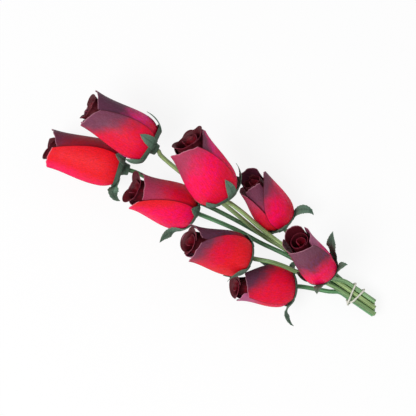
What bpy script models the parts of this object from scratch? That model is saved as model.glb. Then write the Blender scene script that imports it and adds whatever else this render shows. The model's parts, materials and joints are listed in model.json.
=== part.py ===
"""A bunch of eight rosebuds of dyed wood shavings on green-covered wires, tied with a doubled elastic.

The stems run along X to their cut ends at +X. Each bud hangs on an empty at its neck, where its wire bends.
"""

import math
from collections import namedtuple

import bmesh
import bpy
import numpy as np
from mathutils import Matrix, Vector

MM = 0.001

# Driving sizes, in millimetres and degrees
STEM_DIAMETER = 2.8
STEM_GAP = 0.45
BUNDLE_SLOPE = 8.0
TAIL_LENGTH = 15.3
TRIM_SLANT = 34.0
NECK_LEAD = 1.2
BAND_LEAD = 2.0
PETAL_THICKNESS = 0.7
PETAL_GAP = 0.45
SHEET_CLEARANCE = 0.35
BULB_CLEARANCE = 0.9
CORE_FOOT_DIAMETER = 6.0
HEART_THICKNESS = 0.8
HEART_TURNS = 1.9
CALYX_THICKNESS = 0.6
SEPAL_WIDTH = 8.0
SEPAL_TIP_WIDTH = 0.8
SOCKET_CLEARANCE = 0.3
NOD_LIMIT = 25.0
COLLAR_WALL = 0.6
HUB_FLARE = 1.3
ELASTIC_DIAMETER = 1.2
ELASTIC_CLEARANCE = 0.35
ELASTIC_SPREAD = 3.4
STRAND_GAP = 0.5

# Where the widest place and the lower edge of the petals lie, as shares of a bud's length
BELLY_SHARE = 0.3
BASE_SQUARENESS = 2.2
PETAL_FOOT = 0.07
FOOT_CROWDING = 1.5
FOOT_NARROWING = 0.82
TIP_ROUNDING = 1.6

# The heart's solid bulb, from its top down, and where its scroll starts, as shares of a bud's length
BULB_RINGS = (0.5, 0.34, 0.2, 0.11)
SCROLL_FOOT = 0.46

# How much the scroll narrows to its middle, and how its upper edge waves and falls along the bud
SCROLL_NARROWING = 0.68
SCROLL_WAVE = 0.05
SCROLL_FALL = 0.03

# Where the elastic passes over itself, in turns, and how far its hump reaches and slopes
CROSSING = 1.5
CROSSING_TOP = 0.05
CROSSING_SLOPE = 0.14

# Angles of the rings of the rounded wire end and of the round socket that sits on it
WIRE_END_RINGS = (80.0, 58.0, 32.0, 0.0)
SOCKET_RINGS = (-10.0, 15.0, 40.0, 65.0)

# Mesh fineness
PETAL_COLUMNS = 6
PETAL_ROWS = 5
SEPAL_ROWS = 4
HEART_STEPS = 20
HEART_ROWS = 2
HUB_SIDES = 10
STEM_STEP = 13.0
ELASTIC_POINTS = 60

Petal = namedtuple("Petal", "middle half tip tip_half reach slant flare")
Sepal = namedtuple("Sepal", "azimuth length hugging spread twist")
Rose = namedtuple("Rose", "neck heading lift length belly mouth nod_towards heart_reach slot route petals sepals")

# Necks and routes are measured from the middle of the bundle's cut ends, on its centre line.
# Azimuths are measured round a bud from its upper side, anticlockwise seen from the mouth.
# Petals go from the outermost layer to the innermost.
ROSES = (
    Rose(
        neck=(-176.6, -14.9, 10.9), heading=-160.3, lift=9.2, length=50.9, belly=15.5, mouth=0.75,
        nod_towards=-75.0, heart_reach=1.05, slot=(0.0, -1.0),
        route=((-148.5, -10.1, 4.2), (-119.2, -3.9, 2.2), (-83.6, -0.4, 0.7), (-55.4, 0.3, 0.3)),
        petals=(
            Petal(-28.0, 51.0, -46.0, 36.0, 0.98, 0.0, 1.0),
            Petal(60.0, 54.0, 48.0, 52.0, 0.99, 3.0, 1.0),
            Petal(-100.0, 50.0, -100.0, 44.0, 0.97, 0.0, 0.8),
            Petal(170.0, 62.0, 175.0, 50.0, 1.0, 0.0, 0.6),
        ),
        sepals=(
            Sepal(-80.0, 14.0, 0.5, 135.0, 70.0), Sepal(14.0, 8.0, 8.0, 0.0, 0.0),
            Sepal(80.0, 9.0, 9.0, 0.0, 0.0), Sepal(150.0, 11.0, 11.0, 0.0, 0.0),
            Sepal(-150.0, 11.0, 11.0, 0.0, 0.0),
        ),
    ),
    Rose(
        neck=(-166.3, 2.6, 28.7), heading=-175.2, lift=16.6, length=48.5, belly=16.0, mouth=0.73,
        nod_towards=30.0, heart_reach=1.08, slot=(0.5, 0.0),
        route=(
            (-162.3, 2.2, 25.0), (-145.0, 1.4, 16.5), (-110.3, 0.8, 9.2), (-92.5, -0.6, 6.1),
            (-81.3, -1.4, 5.5), (-68.3, -0.6, 4.7),
        ),
        petals=(
            Petal(-20.0, 46.0, -38.0, 38.0, 0.96, -2.3, 1.0),
            Petal(62.0, 54.0, 50.0, 50.0, 1.0, 3.0, 1.0),
            Petal(-98.0, 50.0, -98.0, 44.0, 0.98, 0.0, 0.8),
            Petal(170.0, 62.0, 175.0, 50.0, 1.0, 0.0, 0.6),
        ),
        sepals=(
            Sepal(-2.0, 13.0, 13.0, 0.0, 0.0), Sepal(70.0, 15.0, 15.0, 0.0, 0.0),
            Sepal(-70.0, 12.0, 12.0, 0.0, 0.0), Sepal(142.0, 12.0, 12.0, 0.0, 0.0),
            Sepal(-140.0, 8.0, 8.0, 0.0, 0.0),
        ),
    ),
    Rose(
        neck=(-125.3, -14.1, 12.7), heading=-161.4, lift=28.6, length=43.2, belly=14.8, mouth=0.74,
        nod_towards=-75.0, heart_reach=1.14, slot=(-0.5, 0.0),
        route=((-97.7, -7.9, 8.2), (-82.3, -6.1, 5.7), (-61.1, -2.9, 4.1)),
        petals=(
            Petal(-46.0, 48.0, -72.0, 30.0, 1.02, 0.0, 1.0),
            Petal(40.0, 66.0, 32.0, 68.0, 0.99, 1.0, 1.0),
            Petal(-120.0, 50.0, -120.0, 44.0, 0.97, 0.0, 0.8),
            Petal(165.0, 62.0, 165.0, 54.0, 1.02, 0.0, 0.6),
        ),
        sepals=(
            Sepal(-80.0, 24.0, 7.0, 55.0, 30.0), Sepal(-8.0, 9.0, 9.0, 0.0, 0.0),
            Sepal(60.0, 9.0, 9.0, 0.0, 0.0), Sepal(125.0, 9.0, 9.0, 0.0, 0.0),
            Sepal(-155.0, 11.0, 11.0, 0.0, 0.0),
        ),
    ),
    Rose(
        neck=(-113.0, 0.6, 31.0), heading=161.1, lift=34.7, length=45.7, belly=16.2, mouth=0.8,
        nod_towards=-10.0, heart_reach=1.05, slot=(0.0, 1.0),
        route=((-109.0, 0.7, 26.0), (-99.8, 1.4, 19.0), (-85.6, 0.6, 12.5), (-68.1, 0.0, 9.0)),
        petals=(
            Petal(-22.0, 64.0, -40.0, 44.0, 1.0, 0.0, 1.0),
            Petal(8.0, 44.0, 50.0, 10.0, 1.05, 0.0, 1.0),
            Petal(105.0, 58.0, 105.0, 50.0, 0.98, 0.0, 0.8),
            Petal(-150.0, 62.0, -145.0, 56.0, 0.97, 0.0, 0.6),
        ),
        sepals=(
            Sepal(12.0, 16.0, 16.0, 0.0, 0.0), Sepal(80.0, 14.0, 14.0, 0.0, 0.0),
            Sepal(-48.0, 9.0, 9.0, 0.0, 0.0), Sepal(-118.0, 9.0, 9.0, 0.0, 0.0),
            Sepal(165.0, 9.0, 9.0, 0.0, 0.0),
        ),
    ),
    Rose(
        neck=(-76.5, 11.5, 2.1), heading=164.3, lift=37.6, length=41.0, belly=13.1, mouth=0.76,
        nod_towards=60.0, heart_reach=0.98, slot=(1.0, -1.0),
        route=((-61.1, 9.0, -0.5), (-43.0, 6.5, -0.3)),
        petals=(
            Petal(24.0, 58.0, 46.0, 12.0, 1.02, 0.0, 1.0),
            Petal(-85.0, 58.0, -108.0, 46.0, 0.88, 0.0, 0.9),
            Petal(-35.0, 50.0, -28.0, 40.0, 0.95, 1.0, 0.8),
            Petal(150.0, 80.0, 160.0, 70.0, 1.06, 0.0, 0.6),
        ),
        sepals=(
            Sepal(62.0, 17.0, 1.0, 150.0, 0.0), Sepal(-15.0, 12.0, 3.0, 50.0, 0.0),
            Sepal(150.0, 11.0, 11.0, 0.0, 0.0), Sepal(-145.0, 9.0, 9.0, 0.0, 0.0),
            Sepal(-80.0, 6.0, 6.0, 0.0, 0.0),
        ),
    ),
    Rose(
        neck=(-81.2, -21.4, 26.1), heading=-154.4, lift=32.6, length=41.8, belly=14.1, mouth=0.74,
        nod_towards=20.0, heart_reach=1.08, slot=(-1.0, 1.0),
        route=(
            (-67.9, -15.7, 24.5), (-60.3, -13.1, 22.1), (-52.5, -11.1, 18.7),
            (-42.3, -7.6, 13.7), (-33.3, -4.9, 9.7),
        ),
        petals=(
            Petal(-24.0, 66.0, -48.0, 42.0, 1.02, 0.0, 1.0),
            Petal(66.0, 54.0, 56.0, 44.0, 1.04, 2.0, 1.0),
            Petal(-115.0, 50.0, -115.0, 44.0, 0.98, 0.0, 0.8),
            Petal(160.0, 62.0, 160.0, 54.0, 1.04, 0.0, 0.6),
        ),
        sepals=(
            Sepal(-58.0, 22.0, 6.0, 30.0, 0.0), Sepal(50.0, 9.0, 6.0, 20.0, 0.0),
            Sepal(115.0, 12.0, 12.0, 0.0, 0.0), Sepal(-175.0, 10.0, 10.0, 0.0, 0.0),
            Sepal(-118.0, 10.0, 10.0, 0.0, 0.0),
        ),
    ),
    Rose(
        neck=(-37.1, -2.5, 19.2), heading=174.7, lift=56.5, length=43.0, belly=12.3, mouth=0.8,
        nod_towards=0.0, heart_reach=0.99, slot=(1.0, 1.0),
        route=(),
        petals=(
            Petal(-24.0, 58.0, -32.0, 42.0, 1.03, -1.5, 1.2),
            Petal(-100.0, 56.0, -108.0, 46.0, 1.0, 0.0, 1.1),
            Petal(64.0, 56.0, 58.0, 44.0, 1.02, 0.0, 1.0),
            Petal(160.0, 70.0, 165.0, 62.0, 1.09, 0.0, 0.6),
        ),
        sepals=(
            Sepal(85.0, 23.0, 9.0, 47.0, 50.0), Sepal(30.0, 14.0, 4.0, 60.0, 0.0),
            Sepal(-50.0, 14.0, 4.0, 70.0, 0.0), Sepal(155.0, 12.0, 12.0, 0.0, 0.0),
            Sepal(-120.0, 12.0, 12.0, 0.0, 0.0),
        ),
    ),
    Rose(
        neck=(-49.4, -17.6, 4.7), heading=-140.9, lift=25.3, length=38.5, belly=13.7, mouth=0.65,
        nod_towards=-60.0, heart_reach=1.12, slot=(-1.0, -1.0),
        route=((-37.7, -10.8, 1.1), (-29.0, -6.9, 0.5)),
        petals=(
            Petal(10.0, 72.0, 0.0, 50.0, 0.96, 0.5, 0.6),
            Petal(-80.0, 54.0, -80.0, 44.0, 1.02, 0.0, 0.6),
            Petal(-160.0, 54.0, -160.0, 44.0, 0.99, 0.0, 0.5),
            Petal(120.0, 60.0, 120.0, 52.0, 1.02, 0.0, 0.4),
        ),
        sepals=(
            Sepal(-85.0, 18.0, 3.0, 110.0, 60.0), Sepal(58.0, 8.0, 0.5, 120.0, 0.0),
            Sepal(102.0, 20.0, 10.0, 30.0, 0.0), Sepal(165.0, 9.0, 9.0, 0.0, 0.0),
            Sepal(-150.0, 10.0, 10.0, 0.0, 0.0),
        ),
    ),
)

CRIMSON = (0.62, 0.02, 0.07, 1.0)
MAROON = (0.13, 0.01, 0.02, 1.0)
LEAF_GREEN = (0.12, 0.2, 0.13, 1.0)
WIRE_GREEN = (0.13, 0.28, 0.08, 1.0)
ELASTIC_WHITE = (0.86, 0.85, 0.78, 1.0)

PETAL_ROUGHNESS = 0.55
HEART_ROUGHNESS = 0.6
LEAF_ROUGHNESS = 0.7
WIRE_ROUGHNESS = 0.35
ELASTIC_ROUGHNESS = 0.6


def clear_scene():
    for obj in list(bpy.data.objects):
        bpy.data.objects.remove(obj, do_unlink=True)


def new_collection(name):
    collection = bpy.data.collections.new(name)
    bpy.context.scene.collection.children.link(collection)
    return collection


def new_material(name, colour, roughness):
    material = bpy.data.materials.new(name)
    material.use_nodes = True
    shader = material.node_tree.nodes["Principled BSDF"]
    shader.inputs["Base Color"].default_value = colour
    shader.inputs["Roughness"].default_value = roughness
    shader.inputs["Metallic"].default_value = 0.0
    return material


def new_object(name, data, collection, parent, colour, roughness):
    obj = bpy.data.objects.new(name, data)
    obj.data.materials.append(new_material(name, colour, roughness))
    collection.objects.link(obj)
    obj.parent = parent
    return obj


def new_empty(name, collection, parent=None):
    empty = bpy.data.objects.new(name, None)
    empty.empty_display_size = 0.01
    collection.objects.link(empty)
    empty.parent = parent
    return empty


def grid_mesh(name, columns, rows, place):
    """A grid of faces, each corner put where place(across, along) says, both from 0 to 1."""
    shape = bmesh.new()
    bmesh.ops.create_grid(shape, x_segments=columns, y_segments=rows, size=0.5)
    for corner in shape.verts:
        corner.co = Vector(place(corner.co.x + 0.5, corner.co.y + 0.5)) * MM
    mesh = bpy.data.meshes.new(name)
    shape.to_mesh(mesh)
    shape.free()
    mesh.shade_smooth()
    return mesh


def add_thickness(obj, thickness):
    solid = obj.modifiers.new("thickness", "SOLIDIFY")
    solid.thickness = thickness * MM
    solid.offset = 0.0
    solid.use_even_offset = True


def polar(radius, azimuth, height):
    """A point round the bud's own axis, its azimuth in degrees."""
    turn = math.radians(azimuth)
    return Vector((radius * math.cos(turn), radius * math.sin(turn), height))


def ease(share):
    share = min(max(share, 0.0), 1.0)
    return share * share * (3.0 - 2.0 * share)


def bud_radius(rose, share):
    """The bud's outer radius at a share of its length: a round bottom, then a taper to the mouth."""
    if share < BELLY_SHARE:
        short = (BELLY_SHARE - share) / BELLY_SHARE
        return rose.belly * (1.0 - short**BASE_SQUARENESS) ** (1.0 / BASE_SQUARENESS)
    narrowing = ease((share - BELLY_SHARE) / (1.0 - BELLY_SHARE))
    return rose.belly * (1.0 - (1.0 - rose.mouth) * narrowing)


def bud_side(rose, share, inset):
    """Radius and height on the bud's side, moved inwards along its normal."""
    step = 0.002
    rise = 2.0 * step * rose.length
    widening = bud_radius(rose, share + step) - bud_radius(rose, share - step)
    size = math.hypot(rise, widening)
    radius = bud_radius(rose, share) - inset * rise / size
    height = share * rose.length + inset * widening / size
    return radius, height


def petal_point(rose, petal, inset, across, along):
    """A point of a petal, across from 0 to 1 between its side edges and along from its foot to its tip.

    The rows lie closer together towards the foot, where the bud is rounder.
    """
    along = along**FOOT_CROWDING
    side = 2.0 * across - 1.0
    foot_half = FOOT_NARROWING * petal.half
    half = (
        foot_half * (1.0 - along) * (1.0 - 2.0 * along)
        + 4.0 * petal.half * along * (1.0 - along)
        + petal.tip_half * along * (2.0 * along - 1.0)
    )
    azimuth = petal.middle + (petal.tip - petal.middle) * along**2 + half * side
    share = PETAL_FOOT + (petal.reach - PETAL_FOOT) * along
    radius, height = bud_side(rose, share, inset)
    radius += petal.flare * along**5
    height += (petal.slant * side - TIP_ROUNDING * side * side) * along**4
    return polar(radius, azimuth, height)


def add_petal(rose, name, layer, petal, collection, parent):
    inset = layer * (PETAL_THICKNESS + PETAL_GAP)

    def place(across, along):
        return petal_point(rose, petal, inset, across, along)

    mesh = grid_mesh(name, PETAL_COLUMNS, PETAL_ROWS, place)
    obj = new_object(name, mesh, collection, parent, CRIMSON, PETAL_ROUGHNESS)
    add_thickness(obj, PETAL_THICKNESS)
    return obj


def turned_object(name, profile, sides, collection, parent):
    """A body turned about Z from a closed outline of radius and height, which runs down its outer side."""
    shape = bmesh.new()
    corners = [shape.verts.new((radius * MM, 0.0, height * MM)) for radius, height in profile]
    for first, second in zip(corners, corners[1:]):
        shape.edges.new((first, second))
    mesh = bpy.data.meshes.new(name)
    shape.to_mesh(mesh)
    shape.free()
    obj = bpy.data.objects.new(name, mesh)
    collection.objects.link(obj)
    obj.parent = parent
    screw = obj.modifiers.new("turn", "SCREW")
    screw.axis = "Z"
    screw.steps = sides
    screw.render_steps = sides
    screw.use_merge_vertices = True
    screw.merge_threshold = 0.00001
    return obj


def join_body(obj, other):
    """Joins a helper body to an object by a Boolean union, and hides the helper."""
    union = obj.modifiers.new("join", "BOOLEAN")
    union.operation = "UNION"
    union.solver = "EXACT"
    union.object = other
    other.hide_render = True
    other.display_type = "WIRE"


def heart_inset(rose):
    """How far in the heart's outer side lies, under the innermost petal."""
    innermost = (len(rose.petals) - 1) * (PETAL_THICKNESS + PETAL_GAP)
    return innermost + PETAL_THICKNESS / 2 + SHEET_CLEARANCE


def add_heart(rose, name, collection, cutters, parent):
    """The bud's middle: a solid bulb on a foot over the calyx, and a shaving rolled into a scroll in it."""
    inset = heart_inset(rose)

    def place(across, along):
        wound = across * HEART_TURNS
        top = rose.heart_reach - SCROLL_WAVE * math.sin(1.6 * math.pi * wound) - SCROLL_FALL * across
        share = SCROLL_FOOT + (top - SCROLL_FOOT) * along
        outer, _ = bud_side(rose, min(share, 1.0), inset + HEART_THICKNESS / 2)
        radius = outer * (1.0 - SCROLL_NARROWING * across)
        return polar(radius, 360.0 * wound, share * rose.length)

    mesh = grid_mesh(name, HEART_STEPS, HEART_ROWS, place)
    obj = new_object(name, mesh, collection, parent, MAROON, HEART_ROUGHNESS)
    add_thickness(obj, HEART_THICKNESS)
    side = [bud_side(rose, share, inset + BULB_CLEARANCE) for share in (*BULB_RINGS, PETAL_FOOT)]
    foot_radius = CORE_FOOT_DIAMETER / 2
    foot_height = hub_top(rose) + SHEET_CLEARANCE
    foot = [(foot_radius, side[-1][1]), (foot_radius, foot_height), (0.0, foot_height)]
    profile = [(0.0, side[0][1]), *side, *foot]
    join_body(obj, turned_object(name + "_bulb", profile, HUB_SIDES, cutters, parent))
    return obj


def calyx_outset():
    """How far outside the outermost petal's middle the calyx's sheet lies."""
    return PETAL_THICKNESS / 2 + CALYX_THICKNESS / 2 + SHEET_CLEARANCE


def disc_height(rose):
    """The height of the calyx's flat middle above the neck."""
    return bud_side(rose, PETAL_FOOT, -calyx_outset())[1]


def hub_top(rose):
    return disc_height(rose) + CALYX_THICKNESS / 2


def sepal_path(rose, sepal):
    """Radius, height and the direction of a sepal's middle line, from under the petals' foot outwards.

    It keeps to the bud's side for a while and then bends away by its spread.
    """
    outset = calyx_outset()
    step = 0.25
    radius, height = bud_side(rose, PETAL_FOOT, -outset)
    share, gone, angle = PETAL_FOOT, 0.0, 0.0
    points = [(radius, height)]
    while gone < sepal.length:
        if gone < sepal.hugging:
            share += 0.5 * step / rose.length
            there = bud_side(rose, share, -outset)
            while math.dist(points[-1], there) < step:
                share += 0.1 * step / rose.length
                there = bud_side(rose, share, -outset)
            angle = math.atan2(there[1] - points[-1][1], there[0] - points[-1][0])
        else:
            bent = (gone - sepal.hugging) / (sepal.length - sepal.hugging)
            away = angle - math.radians(sepal.spread) * bent
            there = points[-1][0] + step * math.cos(away), points[-1][1] + step * math.sin(away)
        points.append(there)
        gone += step
    return points


def sepal_half_width(share):
    """A leaf's half width at a share of its length: broad at its foot, pointed at its tip."""
    return max(SEPAL_WIDTH * (1.0 - share**2.2) * (0.86 + 0.5 * share), SEPAL_TIP_WIDTH) / 2


def collar_radius():
    """The collar's bore at its lower rim, wide enough for the wire at the end of the nod."""
    lean = math.radians(NOD_LIMIT)
    depth = STEM_DIAMETER / 2 + SOCKET_CLEARANCE
    return depth * math.tan(lean) + STEM_DIAMETER / 2 / math.cos(lean) + SOCKET_CLEARANCE


def sepal_rows(rose, sepal):
    """Rows of three points, left, middle and right, from a sepal's foot to its tip."""
    path = sepal_path(rose, sepal)
    last = len(path) - 1
    rows = []
    for row in range(SEPAL_ROWS + 1):
        share = row / SEPAL_ROWS
        at = round(share * last)
        radius, height = path[at]
        before, after = path[max(at - 1, 0)], path[min(at + 1, last)]
        middle = polar(radius, sepal.azimuth, height)
        forward = polar(after[0] - before[0], sepal.azimuth, after[1] - before[1])
        bent = max(share * sepal.length - sepal.hugging, 0.0) / max(sepal.length - sepal.hugging, 1.0)
        twist = Matrix.Rotation(math.radians(sepal.twist) * ease(1.5 * bent), 3, forward)
        half_turn = math.degrees(sepal_half_width(share) / radius)
        sides = [polar(radius, sepal.azimuth + side * half_turn, height) for side in (-1.0, 0.0, 1.0)]
        rows.append([middle + twist @ (side - middle) for side in sides])
    return rows


def calyx_mesh(name, rose, inner_radius, height):
    """An open sheet: a disc with a hole, and a leaf-shaped sepal folded up from each stretch of its rim."""
    shape = bmesh.new()
    sepals = sorted(rose.sepals, key=lambda sepal: sepal.azimuth)
    sheets = []
    for sepal in sepals:
        rows = sepal_rows(rose, sepal)
        sheets.append([[shape.verts.new(point * MM) for point in row] for row in rows])
    for sheet in sheets:
        for low, high in zip(sheet, sheet[1:]):
            for side in range(2):
                shape.faces.new((low[side], high[side], high[side + 1], low[side + 1]))
    rim = [corner for sheet in sheets for corner in sheet[0]]
    inner = []
    for corner in rim:
        azimuth = math.degrees(math.atan2(corner.co.y, corner.co.x))
        inner.append(shape.verts.new(polar(inner_radius, azimuth, height) * MM))
    for here in range(len(rim)):
        there = (here + 1) % len(rim)
        shape.faces.new((inner[here], rim[here], rim[there], inner[there]))
    mesh = bpy.data.meshes.new(name)
    shape.to_mesh(mesh)
    shape.free()
    return mesh


def add_calyx(rose, name, collection, cutters, parent):
    """A star of stiff green paper round the bud's foot, on a tapered hub whose socket sits on the wire's end."""
    socket = STEM_DIAMETER / 2 + SOCKET_CLEARANCE
    rim_radius = collar_radius() + COLLAR_WALL
    hub_radius = rim_radius + HUB_FLARE
    mesh = calyx_mesh(name, rose, 0.6 * hub_radius, disc_height(rose))
    obj = new_object(name, mesh, collection, parent, LEAF_GREEN, LEAF_ROUGHNESS)
    add_thickness(obj, CALYX_THICKNESS)
    top = hub_top(rose)
    profile = [(0.0, top), (hub_radius, top), (rim_radius, -socket), (collar_radius(), -socket)]
    for angle in SOCKET_RINGS:
        turn = math.radians(angle)
        profile.append((socket * math.cos(turn), socket * math.sin(turn)))
    profile.append((0.0, socket))
    join_body(obj, turned_object(name + "_hub", profile, HUB_SIDES, cutters, parent))
    return obj


def bundle_frame():
    """The bundle's directions: along it to the cut ends, across it, and over it."""
    slope = math.radians(BUNDLE_SLOPE)
    along = Vector((math.cos(slope), 0.0, -math.sin(slope)))
    across = Vector((0.0, 1.0, 0.0))
    return along, across, along.cross(across)


def stem_pitch():
    return STEM_DIAMETER + STEM_GAP


def row_height():
    """The wires lie in three rows, each in the hollows of the one below."""
    return stem_pitch() * math.sqrt(3.0) / 2.0


def slot_point(slot, back):
    """A point on a stem's straight run, at a distance back from the middle of the cut ends."""
    along, across, over = bundle_frame()
    return across * slot[0] * stem_pitch() + over * slot[1] * row_height() - along * back


def smooth_route(points, first_tangent, last_tangent, step):
    """Points along a smooth curve through the given ones, about a step apart."""
    knots = [0.0]
    for here, there in zip(points, points[1:]):
        knots.append(knots[-1] + math.sqrt((there - here).length))
    tangents = [first_tangent * math.sqrt((points[1] - points[0]).length)]
    for i in range(1, len(points) - 1):
        before, after = knots[i] - knots[i - 1], knots[i + 1] - knots[i]
        slope_in = (points[i] - points[i - 1]) / before
        slope_out = (points[i + 1] - points[i]) / after
        tangents.append((slope_out * before + slope_in * after) / (before + after))
    tangents.append(last_tangent * math.sqrt((points[-1] - points[-2]).length))
    route = []
    for i in range(len(points) - 1):
        wide = knots[i + 1] - knots[i]
        pieces = max(1, round((points[i + 1] - points[i]).length / step))
        for k in range(pieces):
            t = k / pieces
            route.append(
                points[i] * (2 * t**3 - 3 * t**2 + 1)
                + tangents[i] * wide * (t**3 - 2 * t**2 + t)
                + points[i + 1] * (3 * t**2 - 2 * t**3)
                + tangents[i + 1] * wide * (t**3 - t**2)
            )
    route.append(points[-1])
    return route


def tube(name, points, diameter, collection, parent, colour, roughness, radii=None, cyclic=False, sides=2):
    curve = bpy.data.curves.new(name, "CURVE")
    curve.dimensions = "3D"
    curve.bevel_depth = diameter / 2 * MM
    curve.bevel_resolution = sides
    curve.use_fill_caps = True
    spline = curve.splines.new("POLY")
    spline.points.add(len(points) - 1)
    for i, point in enumerate(points):
        spline.points[i].co = (*(Vector(point) * MM), 1.0)
        spline.points[i].radius = radii[i] if radii else 1.0
    spline.use_cyclic_u = cyclic
    spline.use_smooth = True
    return new_object(name, curve, collection, parent, colour, roughness)


def bud_axes(rose):
    """The bud's axis, its upper side and its left side, as the columns of a rotation."""
    heading, lift = math.radians(rose.heading), math.radians(rose.lift)
    axis = Vector((math.cos(heading) * math.cos(lift), math.sin(heading) * math.cos(lift), math.sin(lift)))
    upper = (Vector((0.0, 0.0, 1.0)) - axis * axis.z).normalized()
    return Matrix((upper, axis.cross(upper), axis)).transposed()


def add_stem(rose, name, collection, parent):
    """A covered wire with a rounded end in the bud's socket, running into its slot in the bundle."""
    neck = Vector(rose.neck)
    axis = bud_axes(rose).col[2]
    along, _, _ = bundle_frame()
    radius = STEM_DIAMETER / 2
    half_band = ELASTIC_SPREAD + ELASTIC_DIAMETER
    trimmed = rose.slot[0] * stem_pitch() * math.tan(math.radians(TRIM_SLANT))
    gather = slot_point(rose.slot, TAIL_LENGTH + half_band + BAND_LEAD)
    straight = neck - axis * (radius + SOCKET_CLEARANCE + NECK_LEAD)
    through = [straight] + [Vector(p) for p in rose.route] + [gather]
    route = smooth_route(through, -axis, along, STEM_STEP)
    rounded = [(radius * math.sin(a), math.cos(a)) for a in map(math.radians, WIRE_END_RINGS)]
    points = [neck + axis * rise for rise, _ in rounded] + route + [slot_point(rose.slot, trimmed)]
    radii = [share for _, share in rounded] + [1.0] * (len(route) + 1)
    return tube(name, points, STEM_DIAMETER, collection, parent, WIRE_GREEN, WIRE_ROUGHNESS, radii)


def elastic_outline(share):
    """Where the elastic runs round the wires, and the way out there: a rectangle with round corners.

    Across and over the bundle, at a share of the way round.
    """
    half_wide, half_high = stem_pitch(), row_height()
    corner = STEM_DIAMETER / 2 + ELASTIC_CLEARANCE + ELASTIC_DIAMETER / 2
    quarter = math.pi * corner / 2.0
    gone = (share % 1.0) * 4.0 * (half_wide + half_high + quarter)
    straights = (half_high, 2.0 * half_wide, 2.0 * half_high, 2.0 * half_wide, half_high)
    centres = ((1, 1), (-1, 1), (-1, -1), (1, -1), (1, 0))
    side = 0
    while side < 4 and gone > straights[side] + quarter:
        gone -= straights[side] + quarter
        side += 1
    turn = math.pi / 2.0 * (side + max(gone - straights[side], 0.0) / quarter)
    out = Vector((math.cos(turn), math.sin(turn)))
    forward = Vector((-out.y, out.x))
    middle = Vector((centres[side][0] * half_wide, centres[side][1] * half_high))
    return middle + out * corner - forward * max(straights[side] - gone, 0.0), out


def elastic_route():
    """The elastic's centre line in the bundle's directions: twice round, and once over itself."""
    points = []
    lift = ELASTIC_DIAMETER + STRAND_GAP
    for i in range(ELASTIC_POINTS):
        turned = 2.0 * i / ELASTIC_POINTS
        place, out = elastic_outline(turned)
        spread = ELASTIC_SPREAD * math.cos(math.pi * turned)
        hump = lift * (1.0 - ease((abs(turned - CROSSING) - CROSSING_TOP) / CROSSING_SLOPE))
        points.append(Vector((spread, *(place + hump * out))))
    return points


def least_self_gap(points, diameter, closed):
    """The least gap between a tube's surface and itself, leaving out what lies near along the tube."""
    place = np.array([tuple(p) for p in points])
    count = len(place)
    step = float(np.linalg.norm(place[1] - place[0]))
    apart = math.ceil(3.0 * diameter / step)
    best = math.inf
    for i in range(count):
        for k in range(i + 1, count):
            between = min(k - i, count - (k - i)) if closed else k - i
            if between > apart:
                best = min(best, float(np.linalg.norm(place[i] - place[k])))
    return best - diameter


def add_elastic(name, collection, parent):
    """The doubled white elastic, one unbroken loop that goes twice round the wires."""
    route = elastic_route()
    gap = least_self_gap(route, ELASTIC_DIAMETER, True)
    print("least gap of the elastic to itself:", round(gap, 2), "mm")
    holder = new_empty("elastic_middle", collection, parent)
    along, across, over = bundle_frame()
    turn = Matrix((along, across, over)).transposed()
    holder.matrix_local = Matrix.Translation(slot_point((0.0, 0.0), TAIL_LENGTH) * MM) @ turn.to_4x4()
    return tube(
        name, route, ELASTIC_DIAMETER, collection, holder, ELASTIC_WHITE, ELASTIC_ROUGHNESS,
        cyclic=True, sides=1,
    )


def add_rose(number, rose, collection, cutters, bunch):
    parts = [add_stem(rose, f"rose{number}_stem", collection, bunch)]
    bud = new_empty(f"rose{number}_neck", collection, bunch)
    bud.matrix_local = Matrix.Translation(Vector(rose.neck) * MM) @ bud_axes(rose).to_4x4()
    parts.append(add_calyx(rose, f"rose{number}_calyx", collection, cutters, bud))
    parts.append(add_heart(rose, f"rose{number}_heart", collection, cutters, bud))
    for layer, petal in enumerate(rose.petals):
        parts.append(add_petal(rose, f"rose{number}_petal_{layer + 1}", layer, petal, collection, bud))
    return parts


def stand_at_origin(bunch, parts):
    """Moves the whole bunch so that its box stands on the origin, centred."""
    bpy.context.view_layer.update()
    graph = bpy.context.evaluated_depsgraph_get()
    low, high = Vector((math.inf,) * 3), Vector((-math.inf,) * 3)
    for part in parts:
        shown = part.evaluated_get(graph)
        mesh = shown.to_mesh()
        for corner in mesh.vertices:
            place = shown.matrix_world @ corner.co
            low = Vector(map(min, low, place))
            high = Vector(map(max, high, place))
        shown.to_mesh_clear()
    bunch.location = -Vector(((low.x + high.x) / 2, (low.y + high.y) / 2, low.z))
    bpy.context.view_layer.update()


def print_joints():
    """Prints each neck's place and hinge axis in metres, and the elastic's slide direction."""
    for number, rose in enumerate(ROSES, 1):
        neck = bpy.data.objects[f"rose{number}_neck"].matrix_world
        towards = polar(1.0, rose.nod_towards, 0.0)
        hinge = neck.to_3x3() @ Vector((0.0, 0.0, 1.0)).cross(towards)
        place = [round(v, 5) for v in neck.translation]
        print(f"rose{number} neck", place, "hinge", [round(v, 4) for v in hinge])
    along, _, _ = bundle_frame()
    print("elastic slides along", [round(v, 4) for v in along])


def main():
    clear_scene()
    collection = new_collection("Wooden_rose_bunch")
    cutters = new_collection("Helper_bodies")
    bunch = new_empty("bunch", collection)
    parts = []
    for number, rose in enumerate(ROSES, 1):
        parts += add_rose(number, rose, collection, cutters, bunch)
    parts.append(add_elastic("tie_elastic", collection, bunch))
    stand_at_origin(bunch, parts)
    print_joints()


main()
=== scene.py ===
"""Dresses the bunch of wooden roses: dyed shavings, paper calyxes, covered wires and a cotton elastic."""

import json
import math
from collections import namedtuple

import bmesh
import bpy
import numpy as np
from mathutils import Matrix, Vector


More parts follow.
